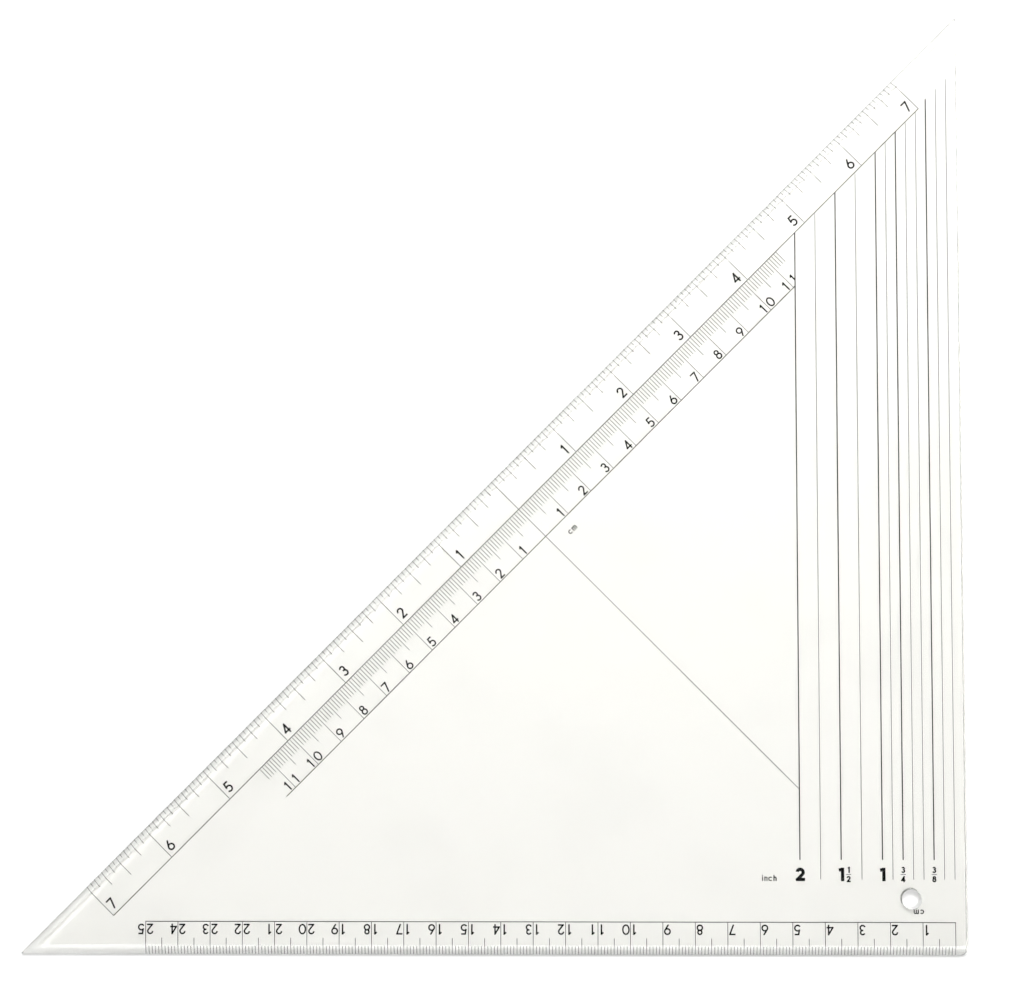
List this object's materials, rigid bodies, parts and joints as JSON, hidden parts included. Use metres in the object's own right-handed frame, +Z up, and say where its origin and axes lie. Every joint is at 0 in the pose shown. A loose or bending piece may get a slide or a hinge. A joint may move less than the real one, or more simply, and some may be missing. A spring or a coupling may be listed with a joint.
{
  "type": "drafting triangle",
  "caption": "Clear flat right-angled drafting triangle with equal legs, bevelled ruling edges, printed centimetre and inch scales, parallel guide lines and a hang hole.",
  "frame": {"origin": "middle of the long edge, on the plane that the triangle lies on", "axes": "+X along the base edge towards the square corner, +Y along the upright edge, +Z up, away from the print"},
  "size_m": [0.2917, 0.2917, 0.003],
  "materials": {
    "clear_acrylic": "polished clear sheet with milled bevels and sawn, lightly polished edges",
    "black_ink": "thin matt screen-printed ink"
  },
  "bodies": {
    "root": {"base_centimetre_ticks": "black_ink", "base_half_centimetre_ticks": "black_ink", "base_millimetre_ticks": "black_ink", "base_numerals": "black_ink", "base_scale_line": "black_ink", "base_unit_mark": "black_ink", "centimetre_scale_line": "black_ink", "centre_line": "black_ink", "clear_plate": "clear_acrylic", "eighth_inch_ticks": "black_ink", "guide_label_1_1_2_inch": "black_ink", "guide_label_1_inch": "black_ink", "guide_label_2_inch": "black_ink", "guide_label_3_4_inch": "black_ink", "guide_label_3_8_inch": "black_ink", "guide_line_1_1_2_inch": "black_ink", "guide_line_1_1_4_inch": "black_ink", "guide_line_1_2_inch": "black_ink", "guide_line_1_3_4_inch": "black_ink", "guide_line_1_4_inch": "black_ink", "guide_line_1_8_inch": "black_ink", "guide_line_1_inch": "black_ink", "guide_line_2_inch": "black_ink", "guide_line_3_4_inch": "black_ink", "guide_line_3_8_inch": "black_ink", "guide_line_5_8_inch": "black_ink", "guide_line_7_8_inch": "black_ink", "guide_unit_mark": "black_ink", "half_inch_ticks": "black_ink", "inch_numerals": "black_ink", "inch_scale_line": "black_ink", "inch_ticks": "black_ink", "long_centimetre_numerals": "black_ink", "long_centimetre_ticks": "black_ink", "long_edge_unit_mark": "black_ink", "long_half_centimetre_ticks": "black_ink", "long_millimetre_ticks": "black_ink", "quarter_inch_ticks": "black_ink", "sixteenth_inch_ticks": "black_ink"}
  },
  "joints": []
}
